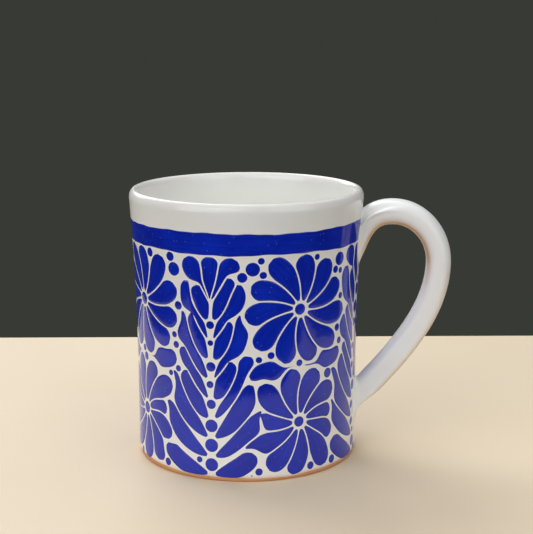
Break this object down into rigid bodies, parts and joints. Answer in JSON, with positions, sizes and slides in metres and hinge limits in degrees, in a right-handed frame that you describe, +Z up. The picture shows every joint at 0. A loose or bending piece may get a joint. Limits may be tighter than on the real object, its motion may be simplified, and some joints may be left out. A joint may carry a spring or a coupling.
{
  "type": "coffee mug",
  "caption": "Straight-sided glazed earthenware coffee mug with a slightly flared rim, an ear-shaped strap handle and cobalt decoration on cream glaze.",
  "frame": {"origin": "centre of the flat base, on the axis of the cup", "axes": "+Z up along the cup's axis, +X from the cup out along the handle, +Y across the handle"},
  "size_m": [0.1156, 0.0842, 0.097],
  "materials": {
    "clay": "bare fired earthenware, matt",
    "slip": "bare fired slip, matt",
    "tin_glaze": "glossy cream tin glaze",
    "cobalt": "glossy cobalt blue under the glaze's melt"
  },
  "bodies": {
    "root": {"clay_cup": "clay", "cup_glaze": "tin_glaze", "cobalt_band": "cobalt", "handle": "clay", "handle_glaze": "tin_glaze", "upper_slip_joint": "slip", "lower_slip_joint": "slip"}
  },
  "joints": []
}
